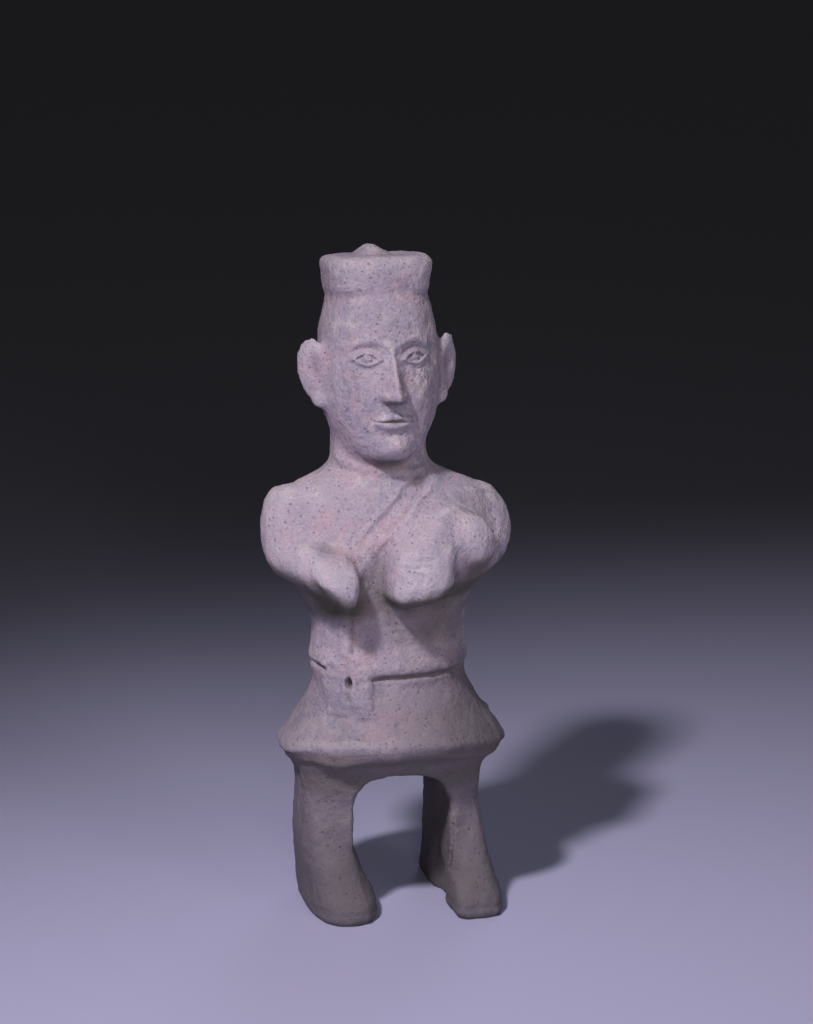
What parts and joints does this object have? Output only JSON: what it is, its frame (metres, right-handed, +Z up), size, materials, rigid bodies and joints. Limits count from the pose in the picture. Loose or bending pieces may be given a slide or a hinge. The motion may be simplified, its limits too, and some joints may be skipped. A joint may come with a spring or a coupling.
{
  "type": "pottery figurine of a standing man",
  "caption": "Standing man in moulded grey pottery, with a flat cap, a belted tunic flared at the hem, fists held at the chest and an open arch between the legs.",
  "frame": {"origin": "middle of the footprint box, on the ground under the boots", "axes": "+Z up along the figure, -Y the way it faces, +X towards its left hand"},
  "size_m": [0.0908, 0.0696, 0.2399],
  "materials": {
    "pottery": "matt unglazed grey earthenware, worn and gritty, with traces of earth and pale wear"
  },
  "bodies": {
    "root": {"figurine": "pottery"}
  },
  "joints": []
}
